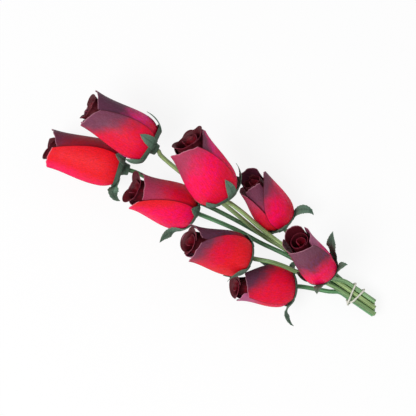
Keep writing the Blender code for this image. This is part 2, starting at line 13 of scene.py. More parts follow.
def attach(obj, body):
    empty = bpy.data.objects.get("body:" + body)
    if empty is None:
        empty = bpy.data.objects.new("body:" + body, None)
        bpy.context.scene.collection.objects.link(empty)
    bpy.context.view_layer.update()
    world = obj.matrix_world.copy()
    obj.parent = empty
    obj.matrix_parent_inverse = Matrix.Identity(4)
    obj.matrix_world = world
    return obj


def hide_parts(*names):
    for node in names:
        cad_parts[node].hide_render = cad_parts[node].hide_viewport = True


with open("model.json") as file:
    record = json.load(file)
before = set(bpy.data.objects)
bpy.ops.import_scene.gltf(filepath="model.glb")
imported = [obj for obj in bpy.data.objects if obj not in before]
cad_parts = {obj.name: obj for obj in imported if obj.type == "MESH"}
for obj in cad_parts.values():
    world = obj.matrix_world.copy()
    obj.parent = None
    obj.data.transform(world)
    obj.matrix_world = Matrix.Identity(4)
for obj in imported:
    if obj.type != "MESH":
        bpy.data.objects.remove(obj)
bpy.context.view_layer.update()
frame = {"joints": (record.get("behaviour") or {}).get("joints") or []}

MM = 0.001

# Sizes in millimetres, angles in degrees and shares of a bud's length, as in the part's source
STEM_DIAMETER = 2.8
STEM_GAP = 0.45
BUNDLE_SLOPE = 8.0
TAIL_LENGTH = 15.3
TRIM_SLANT = 34.0
NECK_LEAD = 1.2
BAND_LEAD = 2.0
PETAL_THICKNESS = 0.7
PETAL_GAP = 0.45
PETAL_LAYERS = 4
SHEET_CLEARANCE = 0.35
HEART_THICKNESS = 0.8
CALYX_THICKNESS = 0.6
SEPAL_WIDTH = 8.0
SOCKET_CLEARANCE = 0.3
NOD_LIMIT = 25.0
COLLAR_WALL = 0.6
HUB_FLARE = 1.3
ELASTIC_DIAMETER = 1.2
ELASTIC_CLEARANCE = 0.35
ELASTIC_SPREAD = 3.4
STRAND_GAP = 0.5
BELLY_SHARE = 0.3
BASE_SQUARENESS = 2.2
PETAL_FOOT = 0.07
FOOT_CROWDING = 1.5
FOOT_NARROWING = 0.82
TIP_ROUNDING = 1.6
SCROLL_FOOT = 0.46
SCROLL_FALL = 0.03
CROSSING = 1.5
CROSSING_TOP = 0.05
CROSSING_SLOPE = 0.14

STEM_RADIUS = STEM_DIAMETER / 2
STEM_PITCH = STEM_DIAMETER + STEM_GAP
ROW_HEIGHT = STEM_PITCH * math.sqrt(3.0) / 2.0
SOCKET_RADIUS = STEM_RADIUS + SOCKET_CLEARANCE
CALYX_OUTSET = PETAL_THICKNESS / 2 + CALYX_THICKNESS / 2 + SHEET_CLEARANCE
LAYER_STEP = PETAL_THICKNESS + PETAL_GAP
HEART_INSET = (PETAL_LAYERS - 1) * LAYER_STEP + PETAL_THICKNESS / 2 + SHEET_CLEARANCE

# What only shows close up: first the shavings, then the paper, the wires and the elastic. The petals'
# side edges stand off by one lift for each layer, from the outermost.
SHAVING = 0.5
THIN_EDGE = 0.22
EDGE_TAPER = 1.6
EDGE_LIFTS = (0.4, 0.12, 0.096, 0.072)
DENTS = 0.1
FLUTES = 0.05
RAGGEDNESS = 0.35
TIP_RIM = 0.55
# How far in from a petal's sides the painted gap shadow reaches
SIDE_RIM = 0.8
SCROLL_TURNS = 1.8
SCROLL_LIP = 0.045
SCROLL_RIPPLE = 0.016
SCROLL_NARROWING = 0.7
SCROLL_ROLL = 0.9
SCROLL_SPILL = 4.0
SCROLL_EDGE = 0.34
SCROLL_SHEET = 0.57
SCROLL_TAPER = 1.2
BULB_TOP = 0.5
BULB_INSET = 0.9
BULB_CROWN = 2.4
LEAF_SHEET = 0.32
LEAF_THINNING = 0.14
LEAF_LIFT = 0.12
LEAF_STEP = 0.25
LEAF_TIP = 0.16
LEAF_TUCK = np.array([[3.4, 0.25], [2.3, 0.2], [1.1, 0.12]])
TOOTH_LENGTH = 1.7
TOOTH_DEPTH = 0.15
LEAF_FOLD = 0.35
LEAF_WAVES = 0.3
TAPE_RIDGE = 0.08
BORE_TURN = 80.0
STEM_UNEVENNESS = 0.018
STEM_FLATNESS = 0.022
CORE_RINGS = ((0.46, 0.0), (0.44, 0.12), (0.36, 0.16))
RIDGES = 4
RIDGE_TWISTS = 60
RIDGE_DEPTH = 0.04

# How finely the meshes are made
PETAL_GRID = (41, 37)
SCROLL_GRID = (150, 26)
LEAF_COLUMNS = 9
TURNED_SIDES = 40
STEM_SIDES = 18
STEM_STEP = 2.4
ELASTIC_POINTS = 420
ELASTIC_SIDES = 16
SHARP_ANGLE = 48.0

# The photograph: its camera in degrees and millimetres, its lamps and paper
CAMERA_HEIGHT = 78.0
CAMERA_TURN = 34.0
CAMERA_DISTANCE = 1000.0
PIXEL = 0.625
PHOTO_WIDTH = 416
SENSOR_WIDTH = 36.0
LOOKED_AT = Vector((-120.3, -6.8, 10.7))
SKY_STRENGTH = 0.36
PAPER_GLOW = 0.87
PAPER = (0.93, 0.93, 0.93, 1.0)
PAPER_RADIUS = 3.0
PAPER_DEPTH = 0.0002
WHITE = (1.0, 1.0, 1.0, 1.0)

Petal = namedtuple("Petal", "middle half tip tip_half reach slant flare")
Dye = namedtuple("Dye", "foot middle tip direction middle_at tip_at dust")
Sepal = namedtuple("Sepal", "azimuth length hugging spread twist", defaults=(0.0, 0.0))
Lobe = namedtuple("Lobe", "azimuth half rise")
Lamp = namedtuple("Lamp", "name rightwards upwards height size power")
Rose = namedtuple(
    "Rose", "neck heading lift length belly mouth heart_reach slot tint route petals dyes sepals lobes"
)

# A lamp's place is in metres: to the picture's right, up the picture, and over the table
LAMPS = (Lamp("key", -0.62, -0.5, 1.25, 0.75, 16.5), Lamp("fill", 0.7, 0.2, 0.8, 0.9, 1.0))

# The dyes of the shavings and the greens, as the eye sees them in plain light, from 0 to 255
SHADES = {
    "scarlet": (234, 24, 40),
    "crimson": (228, 8, 56),
    "magenta": (248, 2, 84),
    "pink": (236, 44, 124),
    "lilac": (184, 92, 134),
    "lilac_dust": (170, 130, 150),
    "rose": (176, 54, 88),
    "plum": (116, 56, 80),
    "dusk": (92, 44, 70),
    "wine": (150, 22, 42),
    "maroon": (78, 8, 22),
    "ember": (150, 6, 34),
    "bare_edge": (214, 150, 168),
    "leaf": (106, 136, 116),
    "leaf_mottled": (86, 114, 96),
    "leaf_dark": (46, 66, 50),
    "leaf_edge": (140, 164, 140),
    "cotton": (240, 238, 226),
    "cotton_worn": (196, 194, 176),
    # Painted shade for the hollows of the elastic's cotton
    "cotton_groove": (176, 176, 160),
    "steel": (120, 118, 112),
}
WARM_HUE = (1.03, 0.7, 0.6, 1.0)
COOL_HUE = (0.98, 1.0, 1.35, 1.0)

# Necks and routes are measured from the middle of the bundle's cut ends, azimuths round a bud from its
# upper side. Petals and their dyes stand in order from the outermost. A dye runs from its foot to its tip
# in a direction: 0 is along the petal, 90 across it to its left side.
ROSES = (
    Rose(
        neck=(-176.6, -14.9, 10.9), heading=-160.3, lift=9.2, length=50.9, belly=15.5, mouth=0.75,
        heart_reach=1.05, slot=(0, -1), tint=(74, 118, 74),
        route=((-148.5, -10.1, 4.2), (-119.2, -3.9, 2.2), (-83.6, -0.4, 0.7), (-55.4, 0.3, 0.3)),
        petals=(
            Petal(-28, 51, -46, 36, 0.98, 0, 1), Petal(60, 54, 48, 52, 0.99, 3, 1),
            Petal(-100, 50, -100, 44, 0.97, 0, 0.8), Petal(170, 62, 175, 50, 1, 0, 0.6),
        ),
        dyes=(
            Dye("scarlet", "scarlet", "magenta", -70, 0.6, 0.95, 0.1),
            Dye("wine", "wine", "dusk", 20, 0.55, 1, 0.3),
            Dye("magenta", "magenta", "pink", 0, 0.4, 0.9, 0.2),
            Dye("wine", "crimson", "dusk", 0, 0.4, 0.9, 0.3),
        ),
        sepals=(
            Sepal(-80, 14, 0.5, 135, -110), Sepal(14, 8, 8), Sepal(80, 9, 9), Sepal(150, 11, 11),
            Sepal(-150, 11, 11),
        ),
        lobes=(Lobe(-62, 56, 0.06), Lobe(64, 62, -0.07), Lobe(150, 46, 0.03)),
    ),
    Rose(
        neck=(-166.3, 2.6, 28.7), heading=-175.2, lift=16.6, length=48.5, belly=16, mouth=0.73,
        heart_reach=1.045, slot=(0.5, 0), tint=(154, 182, 118),
        route=(
            (-162.3, 2.2, 25), (-145, 1.4, 16.5), (-110.3, 0.8, 9.2), (-92.5, -0.6, 6.1),
            (-81.3, -1.4, 5.5), (-68.3, -0.6, 4.7),
        ),
        petals=(
            Petal(-20, 46, -38, 38, 0.96, -2.3, 1), Petal(62, 54, 50, 50, 1, 3, 1),
            Petal(-98, 50, -98, 44, 0.98, 0, 0.8), Petal(170, 62, 175, 50, 1, 0, 0.6),
        ),
        dyes=(
            Dye("crimson", "crimson", "plum", 24, 0.42, 0.82, 0.5),
            Dye("crimson", "pink", "dusk", 10, 0.3, 0.62, 0.4),
            Dye("pink", "pink", "lilac", 0, 0.5, 1, 0.2),
            Dye("crimson", "crimson", "dusk", 0, 0.4, 0.8, 0.3),
        ),
        sepals=(
            Sepal(-2, 13, 13), Sepal(70, 15, 15), Sepal(-70, 12, 12), Sepal(142, 12, 12),
            Sepal(-140, 8, 8),
        ),
        lobes=(Lobe(128, 60, 0.06), Lobe(-112, 54, 0.05), Lobe(-172, 26, -0.04)),
    ),
    Rose(
        neck=(-125.3, -14.1, 12.7), heading=-161.4, lift=28.6, length=43.2, belly=14.8, mouth=0.74,
        heart_reach=1.075, slot=(-0.5, 0), tint=(96, 152, 104),
        route=((-97.7, -7.9, 8.2), (-82.3, -6.1, 5.7), (-61.1, -2.9, 4.1)),
        petals=(
            Petal(-46, 48, -72, 30, 1.02, 0, 1), Petal(40, 66, 32, 68, 0.99, 1, 1),
            Petal(-120, 50, -120, 44, 0.97, 0, 0.8), Petal(165, 62, 165, 54, 1.02, 0, 0.6),
        ),
        dyes=(
            Dye("magenta", "magenta", "scarlet", 60, 0.6, 0.95, 0),
            Dye("scarlet", "crimson", "rose", 0, 0.4, 0.9, 0.3),
            Dye("magenta", "crimson", "rose", 0, 0.4, 0.9, 0.2),
            Dye("wine", "wine", "dusk", 0, 0.4, 0.8, 0.2),
        ),
        sepals=(
            Sepal(-80, 24, 7, 55, 75), Sepal(-8, 9, 9), Sepal(60, 9, 9), Sepal(125, 9, 9),
            Sepal(-155, 11, 11),
        ),
        lobes=(Lobe(86, 52, 0.07), Lobe(-125, 66, 0.09)),
    ),
    Rose(
        neck=(-113, 0.6, 31), heading=161.1, lift=34.7, length=45.7, belly=16.2, mouth=0.8,
        heart_reach=1.05, slot=(0, 1), tint=(164, 192, 124),
        route=((-109, 0.7, 26), (-99.8, 1.4, 19), (-85.6, 0.6, 12.5), (-68.1, 0, 9)),
        petals=(
            Petal(-22, 64, -40, 44, 1, 0, 1), Petal(8, 44, 50, 10, 1.05, 0, 1),
            Petal(105, 58, 105, 50, 0.98, 0, 0.8), Petal(-150, 62, -145, 56, 0.97, 0, 0.6),
        ),
        dyes=(
            Dye("crimson", "magenta", "rose", -20, 0.5, 0.9, 0.5),
            Dye("magenta", "pink", "plum", -40, 0.5, 0.85, 0.6),
            Dye("magenta", "pink", "lilac", 0, 0.4, 0.9, 0.5),
            Dye("crimson", "rose", "maroon", 0, 0.4, 0.9, 0.3),
        ),
        sepals=(
            Sepal(12, 16, 16), Sepal(80, 14, 14), Sepal(-48, 9, 9), Sepal(-118, 9, 9), Sepal(165, 9, 9),
        ),
        lobes=(Lobe(-104, 52, 0.06), Lobe(152, 32, 0.04), Lobe(90, 40, 0.06)),
    ),
    Rose(
        neck=(-76.5, 11.5, 2.1), heading=164.3, lift=37.6, length=41, belly=13.1, mouth=0.76,
        heart_reach=0.98, slot=(1, -1), tint=(112, 158, 106),
        route=((-61.1, 9, -0.5), (-43, 6.5, -0.3)),
        petals=(
            Petal(24, 58, 46, 12, 1.02, 0, 1), Petal(-85, 58, -108, 46, 0.88, 0, 0.9),
            Petal(-35, 50, -28, 40, 0.95, 1, 0.8), Petal(150, 80, 160, 70, 1.06, 0, 0.6),
        ),
        dyes=(
            Dye("crimson", "magenta", "plum", -10, 0.45, 0.85, 0.5),
            Dye("scarlet", "crimson", "rose", 0, 0.4, 0.85, 0.4),
            Dye("crimson", "rose", "plum", 0, 0.4, 0.8, 0.4),
            Dye("magenta", "wine", "dusk", 0, 0.4, 0.8, 0.3),
        ),
        sepals=(
            Sepal(62, 17, 1, 150, 25), Sepal(-15, 12, 3, 50), Sepal(150, 11, 11), Sepal(-145, 9, 9),
            Sepal(-80, 6, 6),
        ),
        lobes=(Lobe(-140, 35, 0.05), Lobe(150, 28, 0.05)),
    ),
    Rose(
        neck=(-81.2, -21.4, 26.1), heading=-154.4, lift=32.6, length=41.8, belly=14.1, mouth=0.74,
        heart_reach=1.08, slot=(-1, 1), tint=(122, 158, 100),
        route=(
            (-67.9, -15.7, 24.5), (-60.3, -13.1, 22.1), (-52.5, -11.1, 18.7),
            (-42.3, -7.6, 13.7), (-33.3, -4.9, 9.7),
        ),
        petals=(
            Petal(-24, 66, -48, 42, 1.02, 0, 1), Petal(66, 54, 56, 44, 1.04, 2, 1),
            Petal(-115, 50, -115, 44, 0.98, 0, 0.8), Petal(160, 62, 160, 54, 1.04, 0, 0.6),
        ),
        dyes=(
            Dye("scarlet", "crimson", "plum", 16, 0.6, 1, 0.4),
            Dye("wine", "dusk", "dusk", 0, 0.5, 0.8, 0.4),
            Dye("magenta", "pink", "lilac", 0, 0.5, 0.9, 0.3),
            Dye("wine", "wine", "dusk", 0, 0.4, 0.8, 0.2),
        ),
        sepals=(
            Sepal(-58, 22, 6, 30), Sepal(50, 9, 6, 20), Sepal(115, 12, 12), Sepal(-175, 10, 10),
            Sepal(-118, 10, 10),
        ),
        lobes=(Lobe(60, 50, 0.03), Lobe(-90, 36, 0.04), Lobe(180, 60, 0.04)),
    ),
    Rose(
        neck=(-37.1, -2.5, 19.2), heading=174.7, lift=56.5, length=43, belly=12.3, mouth=0.8,
        heart_reach=0.99, slot=(1, 1), tint=(142, 184, 128),
        route=(),
        petals=(
            Petal(-24, 58, -32, 42, 1.03, -1.5, 1.2), Petal(-100, 56, -108, 46, 1, 0, 1.1),
            Petal(64, 56, 58, 44, 1.02, 0, 1), Petal(160, 70, 165, 62, 1.09, 0, 0.6),
        ),
        dyes=(
            Dye("magenta", "plum", "plum", 0, 0.58, 0.8, 0.9),
            Dye("magenta", "crimson", "plum", 0, 0.4, 0.9, 0.4),
            Dye("magenta", "pink", "lilac", 0, 0.4, 0.8, 0.5),
            Dye("pink", "wine", "maroon", 0, 0.4, 0.8, 0.3),
        ),
        sepals=(
            Sepal(85, 23, 9, 47, 50), Sepal(30, 14, 4, 60), Sepal(-50, 14, 4, 70), Sepal(155, 12, 12),
            Sepal(-120, 12, 12),
        ),
        lobes=(Lobe(180, 90, 0.02),),
    ),
    Rose(
        neck=(-49.4, -17.6, 4.7), heading=-140.9, lift=25.3, length=38.5, belly=13.7, mouth=0.65,
        heart_reach=1.12, slot=(-1, -1), tint=(96, 152, 100),
        route=((-37.7, -10.8, 1.1), (-29, -6.9, 0.5)),
        petals=(
            Petal(10, 72, 0, 50, 0.96, 0.5, 0.6), Petal(-80, 54, -80, 44, 1.02, 0, 0.6),
            Petal(-160, 54, -160, 44, 0.99, 0, 0.5), Petal(120, 60, 120, 52, 1.02, 0, 0.4),
        ),
        dyes=(
            Dye("crimson", "crimson", "dusk", 40, 0.48, 0.84, 0.4),
            Dye("magenta", "crimson", "lilac", 0, 0.5, 0.9, 0.4),
            Dye("magenta", "wine", "dusk", 0, 0.4, 0.8, 0.2),
            Dye("wine", "dusk", "dusk", 0, 0.4, 0.8, 0.2),
        ),
        sepals=(
            Sepal(-85, 18, 3, 110, 60), Sepal(58, 8, 0.5, 120), Sepal(102, 20, 10, 30), Sepal(165, 9, 9),
            Sepal(-150, 10, 10),
        ),
        lobes=(Lobe(90, 40, 0.03), Lobe(-60, 45, 0.04)),
    ),
)


# How far the layout's own origin lies from the frame's, by the first bud's joint
FIRST_JOINT = next(joint for joint in frame["joints"] if joint["name"] == "bud1_nod")
SHIFT = Vector(FIRST_JOINT["pos_m"]) / MM - Vector(ROSES[0].neck)

# The bundle's directions: along the wires, across the table and upwards
SLOPE = math.radians(BUNDLE_SLOPE)
ALONG = Vector((math.cos(SLOPE), 0.0, -math.sin(SLOPE)))
ACROSS = Vector((0.0, 1.0, 0.0))
OVER = ALONG.cross(ACROSS)


def ease(value, start=0.0, width=1.0):
    """Rises smoothly from 0 to 1 while a value goes through a width from its start."""
    share = np.clip((value - start) / width, 0.0, 1.0)
    return share * share * (3.0 - 2.0 * share)


def polar(radius, azimuth, height):
    """Points round a bud's own axis, azimuths in degrees."""
    turn = np.radians(azimuth)
    return np.stack(np.broadcast_arrays(radius * np.cos(turn), radius * np.sin(turn), height), axis=-1)


def bud_radius(rose, share):
    """The bud's outer radius at a share of its length: a round bottom, then a taper to the mouth."""
    short = np.clip((BELLY_SHARE - share) / BELLY_SHARE, 0.0, 1.0)
    round_bottom = (1.0 - short**BASE_SQUARENESS) ** (1.0 / BASE_SQUARENESS)
    narrowing = ease(share, BELLY_SHARE, 1.0 - BELLY_SHARE)
    return rose.belly * np.where(share < BELLY_SHARE, round_bottom, 1.0 - (1.0 - rose.mouth) * narrowing)


def bud_side(rose, share, inset):
    """Radius and height on the bud's side, moved inwards along its normal."""
    step = 0.002
    rise = 2.0 * step * rose.length
    widening = bud_radius(rose, share + step) - bud_radius(rose, share - step)
    size = np.hypot(rise, widening)
    return bud_radius(rose, share) - inset * rise / size, share * rose.length + inset * widening / size


def side_point(rose, share, inset):
    return tuple(float(value) for value in bud_side(rose, share, inset))


def bud_axis(rose):
    heading, lift = math.radians(rose.heading), math.radians(rose.lift)
    return Vector((math.cos(heading) * math.cos(lift), math.sin(heading) * math.cos(lift), math.sin(lift)))


def bud_place(rose, points):
    """Turns a bud's own millimetres into the frame's metres."""
    axis = bud_axis(rose)
    upper = (Vector((0.0, 0.0, 1.0)) - axis * axis.z).normalized()
    turn = np.array(Matrix((upper, axis.cross(upper), axis)))
    return (points @ turn + np.array(SHIFT + Vector(rose.neck))) * MM


def waves(rng, count):
    """A smooth uneven line made of a few sine waves, from about -1 to 1."""
    lengths = rng.uniform(1.2, 3.6, count)
    phases = rng.uniform(0.0, 2.0 * math.pi, count)
    return lambda at: sum(np.sin(length * at + phase) for length, phase in zip(lengths, phases)) / count


def grid(columns, rows):
    """Shares across and along a sheet, as two arrays of rows by columns."""
    return np.meshgrid(np.linspace(0.0, 1.0, columns), np.linspace(0.0, 1.0, rows))


def grid_faces(columns, rows):
    faces = []
    for row in range(rows - 1):
        for here in range(row * columns, row * columns + columns - 1):
            faces.append((here, here + 1, here + columns + 1, here + columns))
    return faces


def sheet_normals(points):
    """Unit normals of a grid of points."""
    normal = np.cross(np.gradient(points, axis=1), np.gradient(points, axis=0))
    return normal / np.maximum(np.linalg.norm(normal, axis=-1, keepdims=True), 1e-9)


def closed_sheet(points, thickness, fields):
    """A sheet with two sides and a rim, from a grid of middle points; fields are painted on its points."""
    rows, columns = points.shape[:2]
    normal = sheet_normals(points) * (thickness / 2.0)[..., None]
    sides = [(points + normal).reshape(-1, 3), (points - normal).reshape(-1, 3)]
    count = rows * columns
    faces = grid_faces(columns, rows)
    faces += [tuple(count + corner for corner in face[::-1]) for face in faces]
    border = list(range(columns))
    border += [row * columns + columns - 1 for row in range(1, rows)]
    border += [(rows - 1) * columns + column for column in range(columns - 2, -1, -1)]
    border += [row * columns for row in range(rows - 2, 0, -1)]
    for here, there in zip(border, border[1:] + border[:1]):
        faces.append((there, here, here + count, there + count))
    painted = {name: np.concatenate([values.ravel()] * 2) for name, values in fields.items()}
    # inside marks the sheet's second side; the shavings darken it as painted shade
    painted["inside"] = np.concatenate([np.zeros(count), np.ones(count)])
    return np.concatenate(sides), faces, painted


def turned_body(profile, fields):
    """A body turned about the bud's axis from a profile that starts and ends on the axis."""
    sides = TURNED_SIDES
    azimuths = np.arange(sides) * 360.0 / sides
    rings = [polar(radius, azimuths, height) for radius, height in profile[1:-1]]
    points = np.concatenate([[(0.0, 0.0, profile[0][1])], *rings, [(0.0, 0.0, profile[-1][1])]])
    last = len(points) - 1
    faces = []
    for side in range(sides):
        there = (side + 1) % sides
        faces.append((0, 1 + side, 1 + there))
        for ring in range(len(rings) - 1):
            low = 1 + ring * sides
            faces.append((low + side, low + sides + side, low + sides + there, low + there))
        faces.append((last, last - sides + there, last - sides + side))
    painted = {name: np.full(len(points), value) for name, value in fields.items()}
    return points, faces, painted


def joined(parts):
    """Several bodies as one: their points, faces and painted values."""
    points = np.concatenate([part[0] for part in parts])
    faces = []
    start = 0
    for part in parts:
        faces += [tuple(start + corner for corner in face) for face in part[1]]
        start += len(part[0])
    painted = {}
    for name in sorted({name for part in parts for name in part[2]}):
        painted[name] = np.concatenate([part[2].get(name, np.zeros(len(part[0]))) for part in parts])
    return points, faces, painted


def placed(name, data):
    """A new object in the scene."""
    made = bpy.data.objects.new(name, data)
    bpy.context.scene.collection.objects.link(made)
    return made


def add_piece(stands_for, coat, body, material, points, faces, painted):
    """A mesh in the frame's metres that rides on a body and takes the place of its solid."""
    name = f"{stands_for}_{coat}"
    mesh = bpy.data.meshes.new(name)
    mesh.from_pydata(points.tolist(), [], faces)
    for field, values in painted.items():
        attribute = mesh.attributes.new(field, "FLOAT", "POINT")
        attribute.data.foreach_set("value", values.astype(np.float32))
    shape = bmesh.new()
    shape.from_mesh(mesh)
    bmesh.ops.recalc_face_normals(shape, faces=shape.faces)
    shape.to_mesh(mesh)
    shape.free()
    mesh.shade_smooth()
    mesh.set_sharp_from_angle(angle=math.radians(SHARP_ANGLE))
    mesh.materials.append(material)
    piece = placed(name, mesh)
    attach(piece, body)
    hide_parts(stands_for)


# Materials

def linear(shade):
    """A colour from 0 to 255, as the eye sees it, in the linear values that shaders take."""
    parts = [value / 255.0 for value in shade]
    return (*[part / 12.92 if part <= 0.04045 else ((part + 0.055) / 1.055) ** 2.4 for part in parts], 1.0)


class Nodes:
    """Makes the nodes of a material or a world, with short calls for those used often."""

    def __init__(self, owner):
        owner.use_nodes = True
        self.owner = owner
        self.tree = owner.node_tree

    def put(self, value, socket):
        """Links a socket to another one, or gives it a plain value or a shade by its name."""
        if isinstance(value, bpy.types.NodeSocket):
            self.tree.links.new(value, socket)
        else:
            socket.default_value = linear(SHADES[value]) if isinstance(value, str) else value

    def add(self, kind, inputs=(), **settings):
        made = self.tree.nodes.new(kind)
        for name, value in settings.items():
            setattr(made, name, value)
        for socket, value in dict(inputs).items():
            self.put(value, made.inputs[socket])
        return made

    def field(self, name):
        return self.add("ShaderNodeAttribute", attribute_name=name).outputs["Fac"]

    def maths(self, operation, first, second, third=0.0):
        return self.add("ShaderNodeMath", {0: first, 1: second, 2: third}, operation=operation).outputs[0]

    def times(self, first, second):
        return self.maths("MULTIPLY", first, second)

    def plus(self, first, second):
        return self.maths("ADD", first, second)

    def fitted(self, value, low, high, to_low=0.0, to_high=1.0):
        """Brings a value from one range to another, smoothly and held at its ends."""
        inputs = {"Value": value, "From Min": low, "From Max": high, "To Min": to_low, "To Max": to_high}
        return self.add("ShaderNodeMapRange", inputs, interpolation_type="SMOOTHSTEP").outputs["Result"]

    def mix(self, share, first, second, blend="MIX"):
        inputs = {0: share, 6: first, 7: second}
        return self.add("ShaderNodeMix", inputs, data_type="RGBA", blend_type=blend).outputs[2]

    def shaded(self, colour, light):
        """A colour made darker or lighter by a value."""
        grey = self.add("ShaderNodeCombineColor", {0: light, 1: light, 2: light}).outputs[0]
        return self.mix(1.0, colour, grey, "MULTIPLY")

    def noise(self, across, along, seed, detail, roughness):
        """Noise on the sheet, with so many grains to a millimetre across it and along it."""
        place = self.add("ShaderNodeCombineXYZ", {
            "X": self.times(self.field("crosswise"), across),
            "Y": self.times(self.field("lengthwise"), along),
            "Z": float(seed),
        }).outputs["Vector"]
        inputs = {"Vector": place, "Scale": 1.0, "Detail": detail, "Roughness": roughness}
        return self.add("ShaderNodeTexNoise", inputs).outputs["Fac"]

    def blended(self, share, first, second, output):
        """Sends a mix of two shaders to an output."""
        inputs = {0: share, 1: first.outputs[0], 2: second.outputs[0]}
        mixed = self.add("ShaderNodeMixShader", inputs)
        self.put(mixed.outputs[0], self.tree.nodes[output].inputs["Surface"])

    def finish(self, colour, roughness, height, bump, specular):
        """Gives the material its colour, its roughness and a relief whose depth is in millimetres."""
        raised = self.add("ShaderNodeBump", {"Height": height, "Strength": 1.0, "Distance": bump * MM})
        shader = self.tree.nodes["Principled BSDF"]
        self.put(colour, shader.inputs["Base Color"])
        self.put(roughness, shader.inputs["Roughness"])
        self.put(raised.outputs["Normal"], shader.inputs["Normal"])
        self.put(specular, shader.inputs["Specular IOR Level"])
        return self.owner


def material_nodes(name):
    return Nodes(bpy.data.materials.new(name))


def shaving_material(name, dye, seed):
    """A shaving of pale wood, dyed in one colour and dusted with darker ones, with fibres, pores and
    painted shade.
    """
    nodes = material_nodes(name)
    fibres = nodes.noise(1.7, 0.26, seed, 4.0, 0.65)
    blotches = nodes.noise(0.6, 0.34, seed + 21, 4.0, 0.6)
    pores = nodes.noise(2.6, 0.9, seed + 5, 3.0, 0.65)
    clouds = nodes.noise(0.12, 0.1, seed + 9, 3.0, 0.5)
    specks = nodes.noise(3.4, 2.9, seed + 13, 2.0, 0.7)
    grains = nodes.noise(1.5, 1.1, seed + 17, 3.0, 0.7)
    drift = nodes.maths("MULTIPLY_ADD", clouds, 0.36, -0.18)
    grain = nodes.maths("MULTIPLY_ADD", specks, 0.16, -0.08)
    along = nodes.plus(nodes.plus(nodes.field("dye"), drift), grain)
    to_middle = nodes.fitted(along, dye.middle_at - 0.28, dye.middle_at)
    to_tip = nodes.fitted(along, dye.middle_at, dye.tip_at)
    colour = nodes.mix(to_middle, dye.foot, dye.middle)
    colour = nodes.mix(to_tip, colour, dye.tip)
    dusty = nodes.times(nodes.fitted(specks, 0.5, 0.72), nodes.times(to_tip, 0.6 * dye.dust))
    colour = nodes.mix(dusty, colour, "lilac_dust")
    hue = nodes.mix(nodes.fitted(blotches, 0.36, 0.64), WARM_HUE, COOL_HUE)
    blotched = nodes.mix(1.0, colour, hue, "MULTIPLY")
    colour = nodes.mix(nodes.times(to_tip, 0.85), blotched, colour)
    light = nodes.fitted(grains, 0.3, 0.7, 0.86, 1.12)
    colour = nodes.shaded(colour, nodes.plus(nodes.fitted(fibres, 0.3, 0.7, -0.12, 0.1), light))
    colour = nodes.mix(nodes.fitted(pores, 0.62, 0.78, 0.0, 0.4), colour, "maroon")
    # Painted shade: the petal's inner side is darkened towards maroon, for the shade inside the bud
    colour = nodes.mix(nodes.times(nodes.field("inside"), 0.55), colour, "maroon")
    # Painted shadow: the side edges go dark maroon, standing for the dark gaps where petals overlap
    painted_gap_shadow = nodes.fitted(nodes.field("side_rim"), 0.2, 0.9, 0.0, 0.8)
    colour = nodes.mix(painted_gap_shadow, colour, "maroon")
    worn = nodes.fitted(pores, 0.3, 0.6, 0.2, 0.6)
    bare = nodes.times(nodes.fitted(nodes.field("tip_rim"), 0.55, 1.0), worn)
    colour = nodes.mix(bare, colour, "bare_edge")
    roughness = nodes.fitted(fibres, 0.3, 0.7, 0.62, 0.48)
    height = nodes.plus(fibres, nodes.times(specks, 0.35))
    return nodes.finish(colour, roughness, height, 0.16, 0.2)


def heart_material(name, seed):
    """The scroll's shaving, soaked in dark dye, with crimson left deep between its turns and a painted
    highlight at its top.
    """
    nodes = material_nodes(name)
    fibres = nodes.noise(1.7, 0.08, seed, 4.0, 0.6)
    clouds = nodes.noise(0.2, 0.22, seed + 4, 3.0, 0.5)
    specks = nodes.noise(3.2, 2.6, seed + 8, 2.0, 0.7)
    depth = nodes.plus(nodes.field("dye"), nodes.maths("MULTIPLY_ADD", clouds, 0.7, -0.35))
    colour = nodes.mix(nodes.fitted(depth, 0.35, 0.8), "ember", "maroon")
    colour = nodes.mix(nodes.fitted(specks, 0.55, 0.8, 0.0, 0.3), colour, "plum")
    colour = nodes.shaded(colour, nodes.fitted(fibres, 0.3, 0.7, 0.7, 1.25))
    # Painted highlight: the scroll's top edge is mixed towards rose, for light catching its rim
    edge = nodes.times(nodes.fitted(nodes.field("edge"), 0.6, 1.0), 0.3)
    colour = nodes.mix(edge, colour, "rose")
    roughness = nodes.fitted(fibres, 0.3, 0.7, 0.66, 0.5)
    return nodes.finish(colour, roughness, fibres, 0.2, 0.3)


def leaf_material(name, seed):
    """Stiff coated paper in grey green, with a dark rib, dark veins, painted shade at its foot and a pale
    edge.
    """
    nodes = material_nodes(name)
    mottle = nodes.noise(0.5, 0.5, seed, 4.0, 0.6)
    weave = nodes.noise(5.0, 1.6, seed + 3, 2.0, 0.6)
    vein = nodes.field("vein")
    colour = nodes.mix(nodes.fitted(mottle, 0.3, 0.7), "leaf_mottled", "leaf")
    colour = nodes.mix(nodes.times(vein, 0.45), colour, "leaf_dark")
    # Painted shade: the foot, under the bud and round the hub, is darkened towards leaf_dark
    colour = nodes.mix(nodes.fitted(nodes.field("foot"), 0.2, 1.0, 0.0, 0.4), colour, "leaf_dark")
    edge = nodes.times(nodes.fitted(nodes.field("edge"), 0.6, 1.0), 0.4)
    colour = nodes.mix(edge, colour, "leaf_edge")
    roughness = nodes.fitted(mottle, 0.3, 0.7, 0.72, 0.58)
    height = nodes.maths("SUBTRACT", nodes.times(weave, 0.5), vein)
    return nodes.finish(colour, roughness, height, 0.15, 0.3)


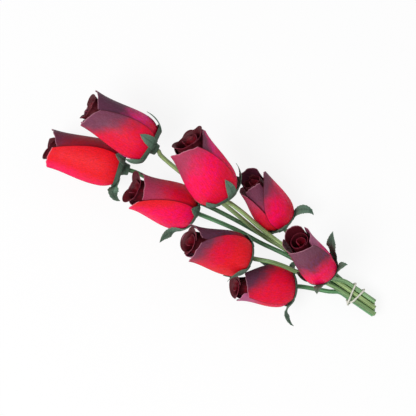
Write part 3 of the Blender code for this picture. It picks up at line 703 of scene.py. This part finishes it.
def wire_material(name, tint, seed):
    """A drawn green plastic cover with fine streaks along it and a bare steel wire in its cut end."""
    nodes = material_nodes(name)
    streaks = nodes.noise(0.9, 0.03, seed, 3.0, 0.6)
    patches = nodes.noise(0.15, 0.06, seed + 6, 3.0, 0.6)
    dark = linear([0.66 * part for part in tint])
    pale = linear([min(1.12 * part + 6, 255) for part in tint])
    darkest = linear([0.5 * part for part in tint])
    colour = nodes.mix(nodes.fitted(streaks, 0.32, 0.68), dark, pale)
    colour = nodes.mix(nodes.fitted(patches, 0.55, 0.8, 0.0, 0.35), colour, darkest)
    colour = nodes.mix(nodes.field("core"), colour, "steel")
    roughness = nodes.fitted(streaks, 0.3, 0.7, 0.46, 0.34)
    return nodes.finish(colour, roughness, streaks, 0.12, 0.5)


def elastic_material():
    """Fine cotton wound over rubber, with painted shade, a little grey, in its grooves."""
    nodes = material_nodes("elastic_cotton")
    threads = nodes.noise(6.0, 3.0, 3, 3.0, 0.6)
    # Painted shade: the hollows between the cotton's ridges are mixed towards grey
    colour = nodes.mix(nodes.field("groove"), "cotton", "cotton_groove")
    colour = nodes.mix(nodes.fitted(threads, 0.5, 0.8, 0.0, 0.25), colour, "cotton_worn")
    roughness = nodes.fitted(threads, 0.3, 0.7, 0.85, 0.7)
    return nodes.finish(colour, roughness, threads, 0.1, 0.25)


# The shavings

def petal_points(rose, petal, layer, across, along, rng):
    """A petal's middle surface: the part's own form, its sides lifted and its sheet a little uneven."""
    crowded = along**FOOT_CROWDING
    side = 2.0 * across - 1.0
    half = (
        FOOT_NARROWING * petal.half * (1.0 - crowded) * (1.0 - 2.0 * crowded)
        + 4.0 * petal.half * crowded * (1.0 - crowded)
        + petal.tip_half * crowded * (2.0 * crowded - 1.0)
    )
    azimuth = petal.middle + (petal.tip - petal.middle) * crowded**2 + half * side
    share = PETAL_FOOT + (petal.reach - PETAL_FOOT) * crowded
    radius, height = bud_side(rose, share, layer * LAYER_STEP)
    lift = EDGE_LIFTS[layer] * ease(np.abs(side), 0.7, 0.3) * ease(crowded, 0.0, 0.5)
    dents = waves(rng, 3)
    flutes = waves(rng, 4)
    uneven = DENTS * dents(3.0 * crowded + 1.5 * side) + FLUTES * flutes(9.0 * side)
    radius += petal.flare * crowded**5 + lift + uneven * ease(crowded, 0.0, 0.3)
    ragged = waves(rng, 4)
    tip = petal.slant * side - TIP_ROUNDING * side * side + RAGGEDNESS * ragged(4.0 * side)
    return polar(radius, azimuth, height + tip * crowded**4), crowded


def sheet_lengths(points):
    """How far each point of a grid lies across from the middle column and along from the first row."""
    across = np.linalg.norm(np.diff(points, axis=1), axis=-1)
    across = np.concatenate([np.zeros((len(points), 1)), np.cumsum(across, axis=1)], axis=1)
    along = np.linalg.norm(np.diff(points, axis=0), axis=-1)
    along = np.concatenate([np.zeros((1, points.shape[1])), np.cumsum(along, axis=0)])
    return across - across[:, -1:] / 2.0, along


def add_petal(number, rose, layer):
    petal, dye = rose.petals[layer], rose.dyes[layer]
    across, along = grid(*PETAL_GRID)
    rng = np.random.default_rng(100 * number + layer)
    points, crowded = petal_points(rose, petal, layer, across, along, rng)
    crosswise, lengthwise = sheet_lengths(points)
    to_side = crosswise[:, -1:] - np.abs(crosswise)
    to_tip = lengthwise[-1:] - lengthwise
    thickness = THIN_EDGE + (SHAVING - THIN_EDGE) * ease(np.minimum(to_side, to_tip), 0.0, EDGE_TAPER)
    direction = math.radians(dye.direction)
    dyed = 0.5 + (crowded - 0.5) * math.cos(direction) + 0.5 * (2.0 * across - 1.0) * math.sin(direction)
    # side_rim carries the painted shadow along the petal's side edges, tip_rim its bare tip edge
    fields = {
        "crosswise": crosswise, "lengthwise": lengthwise, "dye": dyed,
        "tip_rim": 1.0 - ease(to_tip, 0.0, TIP_RIM), "side_rim": 1.0 - ease(to_side, 0.0, SIDE_RIM),
    }
    points, faces, painted = closed_sheet(points, thickness, fields)
    name = f"rose{number}_petal_{layer + 1}"
    material = shaving_material(name + "_shaving", dye, 17 * number + 5 * layer)
    place = bud_place(rose, points)
    add_piece(name, "shaving", f"bud{number}", material, place, faces, painted)


def lobe_rise(rose, azimuth):
    """How far the scroll's edge stands up or dips at an azimuth, as a share of the bud's length."""
    rise = np.zeros_like(azimuth)
    for lobe in rose.lobes:
        away = (azimuth - lobe.azimuth + 180.0) % 360.0 - 180.0
        rise += lobe.rise * np.clip(1.0 - (away / lobe.half) ** 2, 0.0, 1.0)
    return rise


def scroll_points(rose, across, along):
    """The scroll: its edge stands in round lobes and rolls outwards, each turn a little lower inside."""
    azimuth = 360.0 * SCROLL_TURNS * across
    top = rose.heart_reach - SCROLL_LIP + lobe_rise(rose, azimuth) * (1.0 - 0.5 * across)
    top += SCROLL_RIPPLE * np.sin(math.radians(1.4) * azimuth) * across - SCROLL_FALL * across
    share = SCROLL_FOOT + (top - SCROLL_FOOT) * along
    radius, _ = bud_side(rose, np.minimum(share, 1.0), HEART_INSET + HEART_THICKNESS / 2)
    radius = radius * (1.0 - SCROLL_NARROWING * ease(across, 0.3, 0.7))
    rolled = ease(along, 0.8, 0.2) ** 1.5 * (SCROLL_ROLL - 0.5 * across) * ease(share, 0.93, 0.06)
    spilled = SCROLL_SPILL * ease(share, 0.99, 0.12) * (1.0 - across) ** 0.6
    height = share * rose.length - 0.5 * ease(along, 0.93, 0.07)
    return polar(radius + rolled + spilled, azimuth, height)


def bulb_body(rose):
    """The closed bulb that the scroll stands in, down to the petals' feet."""
    shares = np.linspace(BULB_TOP, PETAL_FOOT, 16)
    sides = [side_point(rose, share, HEART_INSET + BULB_INSET) for share in shares]
    radius, height = sides[0]
    crown = [(radius * step, height + BULB_CROWN * (1.0 - step * step)) for step in (0.25, 0.5, 0.75, 0.9)]
    profile = [(0.0, crown[0][1] + 0.15), *crown, *sides, (0.0, sides[-1][1])]
    return turned_body(profile, {"dye": 0.6})


def add_heart(number, rose):
    """The scroll with its closed bulb, rolled from one long shaving."""
    across, along = grid(*SCROLL_GRID)
    along = 1.0 - (1.0 - along) ** 1.4
    points = scroll_points(rose, across, along)
    crosswise, lengthwise = sheet_lengths(points)
    to_tip = lengthwise[-1:] - lengthwise
    thickness = SCROLL_EDGE + (SCROLL_SHEET - SCROLL_EDGE) * ease(to_tip, 0.0, SCROLL_TAPER)
    # edge marks the scroll's top edge, where its material paints a highlight
    fields = {
        "crosswise": crosswise, "lengthwise": lengthwise, "dye": 0.25 + 0.75 * along - 0.35 * across,
        "edge": 1.0 - ease(to_tip, 0.0, 0.5),
    }
    points, faces, painted = joined([closed_sheet(points, thickness, fields), bulb_body(rose)])
    name = f"rose{number}_heart"
    material = heart_material(name + "_scroll", 31 * number)
    place = bud_place(rose, points)
    add_piece(name, "scroll", f"bud{number}", material, place, faces, painted)


# The calyxes

def sepal_path(rose, sepal, outset):
    """Radius and height along a sepal's middle line, in even steps, from under the petals' foot."""
    share, gone, angle = PETAL_FOOT, 0.0, 0.0
    points = [side_point(rose, PETAL_FOOT, -outset)]
    while gone < sepal.length:
        if gone < sepal.hugging:
            there = points[-1]
            while math.dist(points[-1], there) < LEAF_STEP:
                share += 0.1 * LEAF_STEP / rose.length
                there = side_point(rose, share, -outset)
            angle = math.atan2(there[1] - points[-1][1], there[0] - points[-1][0])
        else:
            bent = (gone - sepal.hugging) / (sepal.length - sepal.hugging)
            away = angle - math.radians(sepal.spread) * bent
            there = points[-1][0] + LEAF_STEP * math.cos(away), points[-1][1] + LEAF_STEP * math.sin(away)
        points.append(there)
        gone += LEAF_STEP
    return np.array(points)


def leaf_half_width(share, length):
    """Half the width of a leaf: broad low down, pointed at its tip, with small teeth towards the tip."""
    outline = SEPAL_WIDTH / 2 * (1.0 - share**2.2) * (0.86 + 0.5 * share)
    teeth = (share * length / TOOTH_LENGTH) % 1.0
    return np.maximum(outline * (1.0 - TOOTH_DEPTH * teeth * ease(share, 0.0, 0.25)), LEAF_TIP)


def sepal_points(rose, sepal, rng):
    """A sepal's sheet: it hugs the bud, bends and twists away, folded along its rib, with a wavy edge."""
    path = sepal_path(rose, sepal, CALYX_OUTSET + LEAF_LIFT)
    gone = np.concatenate([-LEAF_TUCK[:, 0], LEAF_STEP * np.arange(len(path))])
    path = np.concatenate([path[0] - LEAF_TUCK, path])
    share = np.clip(gone / sepal.length, 0.0, 1.0)
    half = leaf_half_width(share, sepal.length) * np.where(gone < 0.0, 1.0 + 0.12 * gone, 1.0)
    across = np.linspace(-1.0, 1.0, LEAF_COLUMNS)
    bent = np.clip((gone - sepal.hugging) / max(sepal.length - sepal.hugging, 1.0), 0.0, 1.0)
    ripple = waves(rng, 3)
    sheet = np.zeros((len(path), LEAF_COLUMNS, 3))
    for row, (radius, height) in enumerate(path):
        before, after = path[max(row - 1, 0)], path[min(row + 1, len(path) - 1)]
        forward = Vector(polar(after[0] - before[0], sepal.azimuth, after[1] - before[1]).tolist())
        middle = Vector(polar(radius, sepal.azimuth, height).tolist())
        twist = Matrix.Rotation(math.radians(sepal.twist) * float(ease(1.9 * bent[row])), 3, forward)
        half_turn = math.degrees(half[row] / radius)
        fold = LEAF_FOLD * ease(share[row], 0.0, 0.3) * (1.0 - share[row]) * bent[row]
        for column, side in enumerate(across):
            wavy = LEAF_WAVES * float(ripple(0.9 * gone[row] + 2.0 * side)) * bent[row] ** 0.5
            out = fold * (side * side - 0.3) + wavy * side * side
            place = Vector(polar(radius + out, sepal.azimuth + side * half_turn, height).tolist())
            sheet[row, column] = middle + twist @ (place - middle)
    return sheet, gone, across


def sepal_body(rose, sepal, rng):
    points, gone, across = sepal_points(rose, sepal, rng)
    crosswise, lengthwise = sheet_lengths(points)
    side = np.abs(across)[None, :] * np.ones((len(gone), 1))
    slanted = (gone[:, None] - 1.6 * side * SEPAL_WIDTH / 2) / TOOTH_LENGTH
    veins = np.clip(1.0 - np.abs(slanted % 1.0 - 0.5) * 5.0, 0.0, 1.0) * np.clip(1.2 - side, 0.0, 1.0) * 0.7
    rib = np.clip(1.0 - side / 0.16, 0.0, 1.0)
    # foot: how much painted shade a sepal takes near its root under the bud
    foot = np.clip(1.0 - gone / 7.0, 0.0, 1.0)[:, None] * np.ones_like(side)
    fields = {
        "crosswise": crosswise + 10.0 * sepal.azimuth, "lengthwise": lengthwise,
        "vein": np.maximum(veins, rib), "edge": ease(side, 0.75, 0.25), "foot": foot,
    }
    return closed_sheet(points, LEAF_SHEET - LEAF_THINNING * ease(side, 0.6, 0.4), fields)


def collar_radius():
    """The collar's bore at its lower rim, wide enough for the wire at the end of the nod."""
    lean = math.radians(NOD_LIMIT)
    return SOCKET_RADIUS * math.tan(lean) + STEM_RADIUS / math.cos(lean) + SOCKET_CLEARANCE


def hub_body(rose):
    """The cup under the bud and its collar round the wire's end, wound with paper tape."""
    socket = SOCKET_RADIUS
    rim = collar_radius() + COLLAR_WALL
    cup = [side_point(rose, share, LEAF_LIFT - CALYX_OUTSET) for share in (0.13, 0.11, 0.09, PETAL_FOOT)]
    foot = cup[-1][1]
    inside = [(radius - LEAF_SHEET, max(height + 0.1, foot + LEAF_SHEET)) for radius, height in cup[::-1]]
    wrap = []
    for step in np.linspace(0.0, 0.97, 13):
        radius = rim + HUB_FLARE * (1.0 - step) + TAPE_RIDGE * math.sin(9.0 * step)
        wrap.append((radius, foot * (1.0 - step) - socket * step))
    turns = np.radians(np.linspace(0.0, BORE_TURN, 9))
    bore = [(socket * math.cos(turn), socket * math.sin(turn)) for turn in turns]
    edge = [(rim - 0.2, -socket), (collar_radius(), -socket)]
    profile = [(0.0, foot + LEAF_SHEET), *inside, *cup, *wrap, *edge, *bore, (0.0, socket)]
    # The whole hub takes the painted shade of a leaf's foot
    return turned_body(profile, {"foot": 1.0})


def add_calyx(number, rose):
    rng = np.random.default_rng(900 + number)
    parts = [sepal_body(rose, sepal, rng) for sepal in rose.sepals]
    parts.append(hub_body(rose))
    points, faces, painted = joined(parts)
    hub = slice(-len(parts[-1][0]), None)
    painted["crosswise"][hub] = np.degrees(np.arctan2(points[hub, 1], points[hub, 0])) * 0.06
    painted["lengthwise"][hub] = points[hub, 2]
    name = f"rose{number}_calyx"
    material = leaf_material(name + "_leaf", 7 * number)
    place = bud_place(rose, points)
    add_piece(name, "leaf", f"bud{number}", material, place, faces, painted)


# The wires and the elastic

def slot_point(slot, back):
    """A point on a stem's straight run, at a distance back from the middle of the cut ends."""
    return ACROSS * slot[0] * STEM_PITCH + OVER * slot[1] * ROW_HEIGHT - ALONG * back


def smooth_route(points, first_tangent, last_tangent):
    """Points along a smooth curve through the given ones, about one step apart."""
    knots = [0.0]
    for here, there in zip(points, points[1:]):
        knots.append(knots[-1] + math.sqrt((there - here).length))
    tangents = [first_tangent * math.sqrt((points[1] - points[0]).length)]
    for i in range(1, len(points) - 1):
        before, after = knots[i] - knots[i - 1], knots[i + 1] - knots[i]
        slope_in = (points[i] - points[i - 1]) / before
        slope_out = (points[i + 1] - points[i]) / after
        tangents.append((slope_out * before + slope_in * after) / (before + after))
    tangents.append(last_tangent * math.sqrt((points[-1] - points[-2]).length))
    route = []
    for i in range(len(points) - 1):
        wide = knots[i + 1] - knots[i]
        pieces = max(1, round((points[i + 1] - points[i]).length / STEM_STEP))
        for k in range(pieces):
            t = k / pieces
            route.append(
                points[i] * (2 * t**3 - 3 * t**2 + 1)
                + tangents[i] * wide * (t**3 - 2 * t**2 + t)
                + points[i + 1] * (3 * t**2 - 2 * t**3)
                + tangents[i + 1] * wide * (t**3 - t**2)
            )
    route.append(points[-1])
    return route


def tube_rings(route, radii, angles, closed=False):
    """Rings round a route, turned as little as can be from one to the next."""
    count = len(route)
    side = None
    rings = np.zeros((count, len(angles), 3))
    for i, point in enumerate(route):
        ahead = route[(i + 1) % count] if closed else route[min(i + 1, count - 1)]
        behind = route[i - 1] if closed or i else route[0]
        forward = (ahead - behind).normalized()
        side = forward.orthogonal() if side is None else side
        side = (side - forward * side.dot(forward)).normalized()
        other = forward.cross(side)
        for k, angle in enumerate(angles):
            rings[i, k] = point + (side * math.cos(angle) + other * math.sin(angle)) * radii[i][k]
    return rings


def tube_faces(count, sides, closed=False):
    faces = []
    for i in range(count if closed else count - 1):
        there = (i + 1) % count
        for k in range(sides):
            beside = (k + 1) % sides
            faces.append((i * sides + k, i * sides + beside, there * sides + beside, there * sides + k))
    return faces


def stem_route(rose):
    """The wire's route from its rounded end in the hub to its cut end, and its thinning at each point."""
    neck, axis = Vector(rose.neck), bud_axis(rose)
    trimmed = rose.slot[0] * STEM_PITCH * math.tan(math.radians(TRIM_SLANT))
    gather = slot_point(rose.slot, TAIL_LENGTH + ELASTIC_SPREAD + ELASTIC_DIAMETER + BAND_LEAD)
    straight = neck - axis * (SOCKET_RADIUS + NECK_LEAD)
    route = smooth_route([straight] + [Vector(point) for point in rose.route] + [gather], -axis, ALONG)
    turns = np.radians((87.0, 75.0, 60.0, 42.0, 22.0, 0.0))
    rounded = [neck + axis * STEM_RADIUS * math.sin(turn) for turn in turns]
    end = slot_point(rose.slot, trimmed)
    tail = [gather.lerp(end, step) for step in (0.2, 0.4, 0.6, 0.8, 0.97, 1.0)]
    shares = [math.cos(turn) for turn in turns] + [1.0] * (len(route) + 5) + [0.95]
    return rounded + route + tail, shares


def add_stem(number, rose):
    """A wire in its green cover, a little uneven, with its bare steel core in the cut end."""
    sides = STEM_SIDES
    points, shares = stem_route(rose)
    rng = np.random.default_rng(500 + number)
    uneven = waves(rng, 4)
    flat = waves(rng, 3)
    steps = [(there - here).length for here, there in zip(points, points[1:])]
    length = np.concatenate([[0.0], np.cumsum(steps)])
    angles = np.arange(sides) * 2.0 * math.pi / sides
    radii = []
    for share, gone in zip(shares, length):
        swelling = STEM_UNEVENNESS * uneven(0.35 * gone) + STEM_FLATNESS * flat(2.0 * angles)
        radii.append(STEM_RADIUS * share * (1.0 + swelling))
    rings = tube_rings(points, radii, angles)
    end, before = np.array(points[-1]), np.array(points[-2])
    outwards = (end - before) / np.linalg.norm(end - before)
    core = [end + (rings[-1] - end) * share + outwards * out for share, out in CORE_RINGS]
    tip = end + outwards * CORE_RINGS[-1][1]
    shape = np.concatenate([rings.reshape(-1, 3), *core, [tip], [np.array(points[0])]])
    count, total = len(points), len(shape)
    faces = tube_faces(count + 3, sides)
    for k in range(sides):
        there = (k + 1) % sides
        faces.append((total - 2, total - 2 - sides + there, total - 2 - sides + k))
        faces.append((total - 1, k, there))
    lengthwise = [np.repeat(length, sides), np.full(total - count * sides, length[-1])]
    around = np.tile(2.0 * np.minimum(angles, 2.0 * math.pi - angles) * STEM_RADIUS, count + 3)
    metal = np.zeros(total)
    metal[(count + 1) * sides:total - 1] = 1.0
    painted = {
        "lengthwise": np.concatenate(lengthwise), "crosswise": np.append(around, [0.0, 0.0]), "core": metal,
    }
    name = f"rose{number}_stem"
    material = wire_material(name + "_cover", rose.tint, 11 * number)
    place = (shape + np.array(SHIFT)) * MM
    add_piece(name, "cover", "stems", material, place, faces, painted)


def elastic_outline(share):
    """Where the elastic runs round the wires, and the way out there: a rectangle with round corners."""
    corner = STEM_RADIUS + ELASTIC_CLEARANCE + ELASTIC_DIAMETER / 2
    quarter = math.pi * corner / 2.0
    gone = (share % 1.0) * 4.0 * (STEM_PITCH + ROW_HEIGHT + quarter)
    straights = (ROW_HEIGHT, 2.0 * STEM_PITCH, 2.0 * ROW_HEIGHT, 2.0 * STEM_PITCH, ROW_HEIGHT)
    centres = ((1, 1), (-1, 1), (-1, -1), (1, -1), (1, 0))
    side = 0
    while side < 4 and gone > straights[side] + quarter:
        gone -= straights[side] + quarter
        side += 1
    turn = math.pi / 2.0 * (side + max(gone - straights[side], 0.0) / quarter)
    out = Vector((math.cos(turn), math.sin(turn)))
    forward = Vector((-out.y, out.x))
    middle = Vector((centres[side][0] * STEM_PITCH, centres[side][1] * ROW_HEIGHT))
    return middle + out * corner - forward * max(straights[side] - gone, 0.0), out


def add_elastic():
    """The doubled elastic: one unbroken loop, twice round the wires, its cotton wound in fine ridges."""
    count, sides = ELASTIC_POINTS, ELASTIC_SIDES
    middle = slot_point((0.0, 0.0), TAIL_LENGTH)
    route = []
    for i in range(count):
        turned = 2.0 * i / count
        place, out = elastic_outline(turned)
        spread = ELASTIC_SPREAD * math.cos(math.pi * turned)
        hump = 1.0 - float(ease(abs(turned - CROSSING), CROSSING_TOP, CROSSING_SLOPE))
        place = place + (ELASTIC_DIAMETER + STRAND_GAP) * hump * out
        route.append(middle + ALONG * spread + ACROSS * place.x + OVER * place.y)
    angles = np.arange(sides) * 2.0 * math.pi / sides
    twists = np.arange(count)[:, None] * 2.0 * math.pi * RIDGE_TWISTS / count
    wound = np.cos(RIDGES * angles[None, :] + twists)
    radii = ELASTIC_DIAMETER / 2 * (1.0 - RIDGE_DEPTH + RIDGE_DEPTH * wound)
    rings = tube_rings(route, radii, angles, closed=True)
    length = np.arange(count) * (route[1] - route[0]).length
    # groove marks the hollows between the ridges, where shade is painted
    painted = {
        "lengthwise": np.repeat(length, sides), "crosswise": np.tile(angles * 0.6, count),
        "groove": ease(-wound).ravel(),
    }
    place = (rings.reshape(-1, 3) + np.array(SHIFT)) * MM
    faces = tube_faces(count, sides, closed=True)
    add_piece("tie_elastic", "cotton", "tie", elastic_material(), place, faces, painted)


# The studio

def view_axes():
    """The camera's right, up and back, from the photograph's height and turn."""
    height, turn = math.radians(CAMERA_HEIGHT), math.radians(CAMERA_TURN)
    right = Vector((math.cos(turn), math.sin(turn), 0.0))
    back = Vector((math.sin(turn) * math.cos(height), -math.cos(turn) * math.cos(height), math.sin(height)))
    return right, back.cross(right), back


def add_camera():
    data = bpy.data.cameras.new("photograph")
    data.sensor_width = SENSOR_WIDTH
    data.lens = SENSOR_WIDTH * CAMERA_DISTANCE / (PIXEL * PHOTO_WIDTH)
    data.clip_start = 0.01
    data.clip_end = 20.0
    camera = placed("photograph", data)
    right, up, back = view_axes()
    place = (SHIFT + LOOKED_AT + back * CAMERA_DISTANCE) * MM
    camera.matrix_world = Matrix.Translation(place) @ Matrix((right, up, back)).transposed().to_4x4()
    bpy.context.scene.camera = camera


def add_lamp(lamp):
    """A square soft lamp aimed at the bunch, placed by the photograph's own directions."""
    data = bpy.data.lights.new(lamp.name, "AREA")
    data.shape = "SQUARE"
    data.size = lamp.size
    data.energy = lamp.power
    right, up, _ = view_axes()
    flat_up = Vector((up.x, up.y, 0.0)).normalized()
    place = right * lamp.rightwards + flat_up * lamp.upwards + Vector((0.0, 0.0, lamp.height))
    made = placed(lamp.name, data)
    made.location = place
    made.rotation_euler = (-place).to_track_quat("-Z", "Y").to_euler()


def add_world():
    """Soft light from all round, and plain white behind the bunch."""
    world = bpy.data.worlds.new("studio")
    bpy.context.scene.world = world
    nodes = Nodes(world)
    soft = nodes.tree.nodes["Background"]
    nodes.put(WHITE, soft.inputs["Color"])
    nodes.put(SKY_STRENGTH, soft.inputs["Strength"])
    white = nodes.add("ShaderNodeBackground", {"Color": WHITE, "Strength": 1.0})
    rays = nodes.add("ShaderNodeLightPath").outputs
    seen = nodes.maths("MAXIMUM", rays["Is Camera Ray"], rays["Is Transmission Ray"])
    nodes.blended(seen, soft, white, "World Output")


def floor_material():
    """White paper: seen directly it is lit from within as well, so that only the shadows stay grey."""
    nodes = material_nodes("white_paper")
    nodes.tree.nodes.remove(nodes.tree.nodes["Principled BSDF"])
    paper = nodes.add("ShaderNodeBsdfDiffuse", {"Color": PAPER})
    glow = nodes.add("ShaderNodeEmission", {"Strength": 1.0})
    share = nodes.times(nodes.add("ShaderNodeLightPath").outputs["Is Camera Ray"], PAPER_GLOW)
    nodes.blended(share, paper, glow, "Material Output")
    return nodes.owner


def add_floor():
    shape = bmesh.new()
    bmesh.ops.create_circle(shape, cap_ends=True, segments=96, radius=PAPER_RADIUS)
    mesh = bpy.data.meshes.new("floor")
    shape.to_mesh(mesh)
    shape.free()
    mesh.materials.append(floor_material())
    floor = placed("floor", mesh)
    floor.location = (0.0, 0.0, -PAPER_DEPTH)


def main():
    for number, rose in enumerate(ROSES, 1):
        add_stem(number, rose)
        add_calyx(number, rose)
        add_heart(number, rose)
        for layer in range(len(rose.petals)):
            add_petal(number, rose, layer)
    add_elastic()
    add_camera()
    add_world()
    for lamp in LAMPS:
        add_lamp(lamp)
    add_floor()
    bpy.context.scene.view_settings.view_transform = "Standard"


main()
